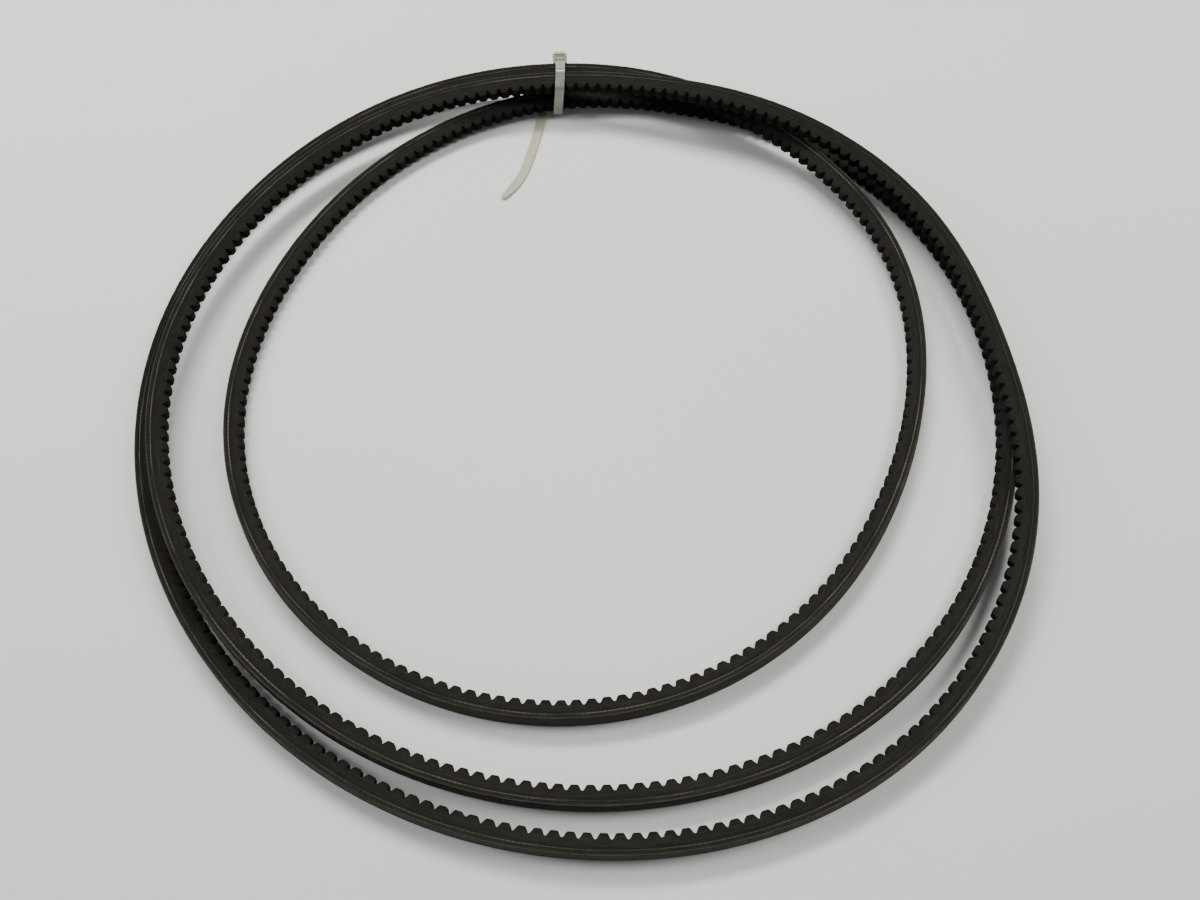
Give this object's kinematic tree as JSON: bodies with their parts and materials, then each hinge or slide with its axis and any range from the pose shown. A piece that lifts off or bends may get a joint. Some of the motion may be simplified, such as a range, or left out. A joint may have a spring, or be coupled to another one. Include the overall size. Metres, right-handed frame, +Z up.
{
  "type": "cogged v belt",
  "caption": "Endless raw-edge cogged wedge belt coiled in three turns on its side and held by a nylon cable tie; its flanks drive grooved pulleys.",
  "frame": {"origin": "centre of the coil's bounding box on the surface it lies on", "axes": "+Z up, the short way of the coil; +Y towards the side where the cable tie is"},
  "size_m": [0.6272, 0.6393, 0.0467],
  "materials": {
    "belt_rubber": "matt ground raw edge, black with short brown fibres",
    "back_canvas": "rubbed-in bias canvas, matt",
    "tensile_cord": "treated polyester cord",
    "tie_nylon": "natural translucent nylon, satin"
  },
  "bodies": {
    "coil": {"back_canvas": "back_canvas", "tension_rubber": "belt_rubber", "tensile_cord_1": "tensile_cord", "tensile_cord_2": "tensile_cord", "tensile_cord_3": "tensile_cord", "tensile_cord_4": "tensile_cord", "tensile_cord_5": "tensile_cord", "tensile_cord_6": "tensile_cord", "tensile_cord_7": "tensile_cord", "tensile_cord_8": "tensile_cord", "adhesion_rubber": "belt_rubber", "compression_rubber": "belt_rubber", "tie_strap": "tie_nylon", "tie_head": "tie_nylon", "tie_tail": "tie_nylon"},
    "pawl": {"tie_pawl": "tie_nylon"}
  },
  "joints": [
    {"name": "pawl_flex", "type": "hinge", "parent": "coil", "child": "pawl", "pos_m": [-0.00422, 0.30779, 0.02586], "axis": [-0.9976, -0.0285, 0.0625], "range_deg": [0, 12], "stiffness_Nm_per_rad": 0.001}
  ]
}
